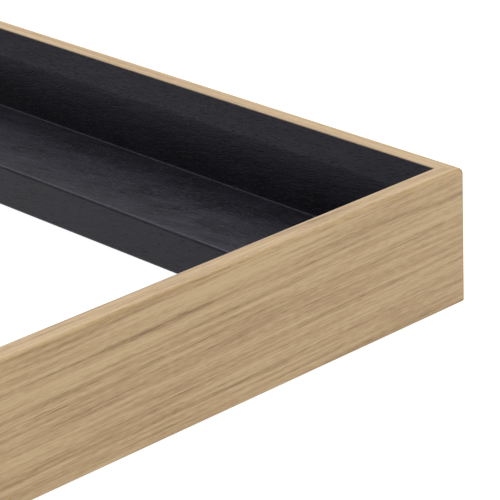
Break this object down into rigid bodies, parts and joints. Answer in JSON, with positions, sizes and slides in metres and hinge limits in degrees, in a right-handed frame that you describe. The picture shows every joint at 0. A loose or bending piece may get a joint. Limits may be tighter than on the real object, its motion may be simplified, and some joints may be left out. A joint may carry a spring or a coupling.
{
  "type": "shadow box frame",
  "caption": "Deep open oak frame with a black stained interior; its black ledges carry a stretched canvas or object panel behind a shadow gap.",
  "frame": {"origin": "centre of the frame's outline, in the plane that its hanger loops and bumpers rest on", "axes": "+Z out of the frame's open front, +Y towards the edge that is on top as it hangs, +X to the right seen from the front"},
  "size_m": [0.32, 0.42, 0.0395],
  "materials": {
    "oak": "matt clear lacquer",
    "black_oak": "black stain, satin lacquer",
    "nail_steel": "bare",
    "nickel": "nickel plated",
    "zinc": "zinc plated",
    "rubber": "matt"
  },
  "bodies": {
    "frame": {"bottom_wall": "oak", "bottom_liner": "black_oak", "bottom_ledge": "black_oak", "right_wall": "oak", "right_liner": "black_oak", "right_ledge": "black_oak", "top_wall": "oak", "top_liner": "black_oak", "top_ledge": "black_oak", "left_wall": "oak", "left_liner": "black_oak", "left_ledge": "black_oak", "v_nail_bottom_right_outer": "nail_steel", "v_nail_bottom_right_inner": "nail_steel", "v_nail_top_right_outer": "nail_steel", "v_nail_top_right_inner": "nail_steel", "v_nail_top_left_outer": "nail_steel", "v_nail_top_left_inner": "nail_steel", "v_nail_bottom_left_outer": "nail_steel", "v_nail_bottom_left_inner": "nail_steel", "left_hanger_strap": "nickel", "left_hanger_screw": "zinc", "left_wall_bumper": "rubber", "right_hanger_strap": "nickel", "right_hanger_screw": "zinc", "right_wall_bumper": "rubber"},
    "left_ring": {"left_d_ring": "nickel"},
    "right_ring": {"right_d_ring": "nickel"}
  },
  "joints": [
    {"name": "left_ring_swing", "type": "hinge", "parent": "frame", "child": "left_ring", "pos_m": [-0.1385, 0.11, 0.00225], "axis": [1, 0, 0], "range_deg": [-172, 4]},
    {"name": "right_ring_swing", "type": "hinge", "parent": "frame", "child": "right_ring", "pos_m": [0.1385, 0.11, 0.00225], "axis": [1, 0, 0], "range_deg": [-172, 4]}
  ]
}
